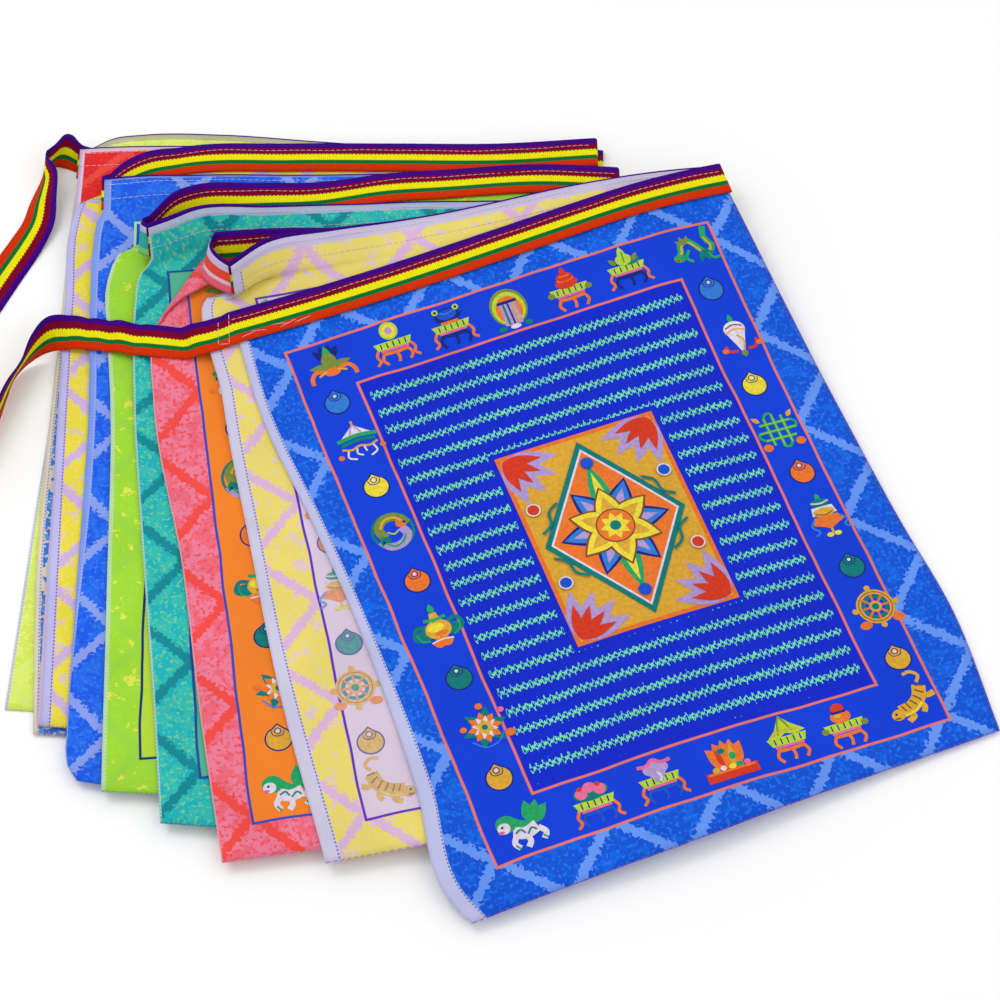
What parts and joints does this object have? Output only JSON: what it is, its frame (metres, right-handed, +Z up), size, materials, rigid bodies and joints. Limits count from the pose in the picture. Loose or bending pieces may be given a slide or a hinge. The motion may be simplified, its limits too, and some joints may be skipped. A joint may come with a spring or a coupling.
{
  "type": "prayer flag string",
  "caption": "String of printed prayer flags sewn along a rainbow ribbon, folded back and forth and fanned out flat, with two free tie ends.",
  "frame": {"origin": "bottom centre of the bounds, on the surface that the pile lies on", "axes": "+X right, +Y away from the viewer and towards the ribbon, +Z up"},
  "size_m": [0.569, 0.506, 0.0443],
  "materials": {
    "blue_front": "satin",
    "white_front": "satin",
    "red_front": "satin",
    "green_front": "satin",
    "yellow_front": "satin",
    "blue_back": "satin",
    "white_back": "satin",
    "red_back": "satin",
    "green_back": "satin",
    "yellow_back": "satin",
    "ribbon": "woven"
  },
  "bodies": {
    "root": {"flag_01_blue_front": "blue_front", "flag_02_white_front": "white_front", "flag_03_red_front": "red_front", "flag_04_green_front": "green_front", "flag_05_yellow_front": "yellow_front", "flag_06_blue_back": "blue_back", "flag_07_white_back": "white_back", "flag_08_red_back": "red_back", "flag_09_green_back": "green_back", "flag_10_yellow_back": "yellow_back", "ribbon": "ribbon"}
  },
  "joints": []
}
